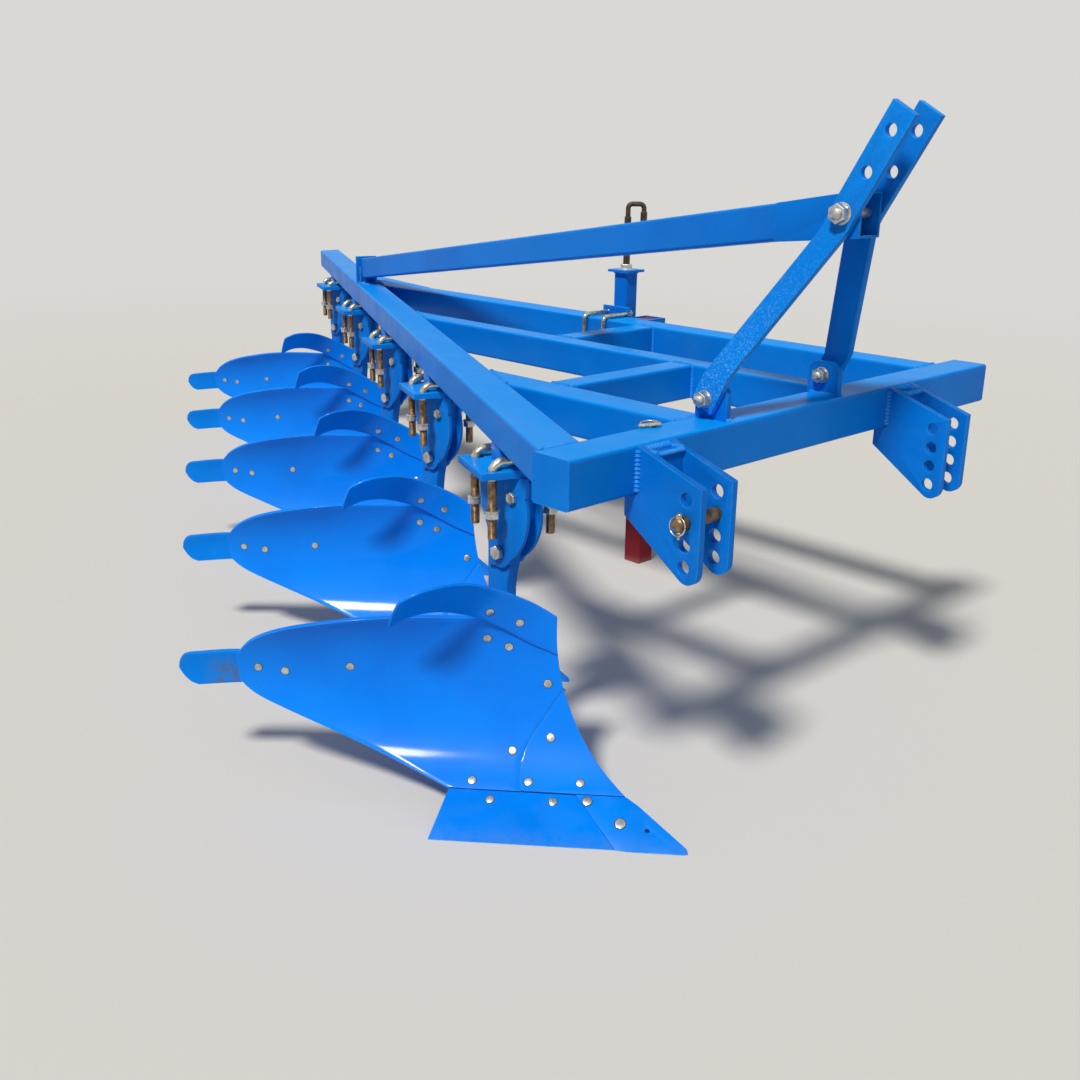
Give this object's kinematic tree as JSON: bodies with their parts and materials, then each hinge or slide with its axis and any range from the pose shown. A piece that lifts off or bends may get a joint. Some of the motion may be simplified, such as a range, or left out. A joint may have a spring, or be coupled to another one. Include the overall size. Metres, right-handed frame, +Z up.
{
  "type": "five-furrow mounted moldboard plough",
  "caption": "Tractor-mounted moldboard plough: a row of right-turning bodies clamped under a diagonal box-section beam, with a braced hitch mast and a parking stand.",
  "frame": {"origin": "middle of the plough's bounding box, on the ground", "axes": "+X forward in the direction of travel, +Y to the left, +Z up"},
  "size_m": [4.1802, 2.5396, 1.4867],
  "materials": {
    "blue_paint": "gloss",
    "red_paint": "satin",
    "zinc": "satin",
    "yellow_zinc": "satin",
    "dark_steel": "matte"
  },
  "bodies": {
    "plough": {"cross_beam": "blue_paint", "diagonal_beam": "blue_paint", "left_beam": "blue_paint", "middle_beam": "blue_paint", "right_beam": "blue_paint", "cross_members": "blue_paint", "hitch_clevis_right": "blue_paint", "hitch_clevis_left": "blue_paint", "hitch_pin": "yellow_zinc", "mast_bar_right": "blue_paint", "mast_bar_left": "blue_paint", "mast_lugs": "blue_paint", "mast_bolts": "zinc", "brace_head": "blue_paint", "brace_tube": "blue_paint", "brace_lug": "blue_paint", "moldboard_1": "blue_paint", "moldboard_2": "blue_paint", "moldboard_3": "blue_paint", "moldboard_4": "blue_paint", "moldboard_5": "blue_paint", "share_1": "blue_paint", "share_2": "blue_paint", "share_3": "blue_paint", "share_4": "blue_paint", "share_5": "blue_paint", "legs": "blue_paint", "frogs": "blue_paint", "landsides": "blue_paint", "share_points": "blue_paint", "shins": "blue_paint", "trashboards": "blue_paint", "tail_strips": "blue_paint", "stays": "blue_paint", "clamps": "blue_paint", "clamp_rods": "yellow_zinc", "clamp_bolts": "zinc", "jack_bracket": "blue_paint", "jack_rods": "zinc", "jack_sleeve": "blue_paint", "jack_screw": "dark_steel", "stand_socket": "blue_paint", "stand_screw": "zinc"},
    "stand": {"stand_leg": "red_paint"}
  },
  "joints": [
    {"name": "stand_slide", "type": "slide", "parent": "plough", "child": "stand", "axis": [0, 0, 1], "range_m": [0, 0.45]}
  ]
}
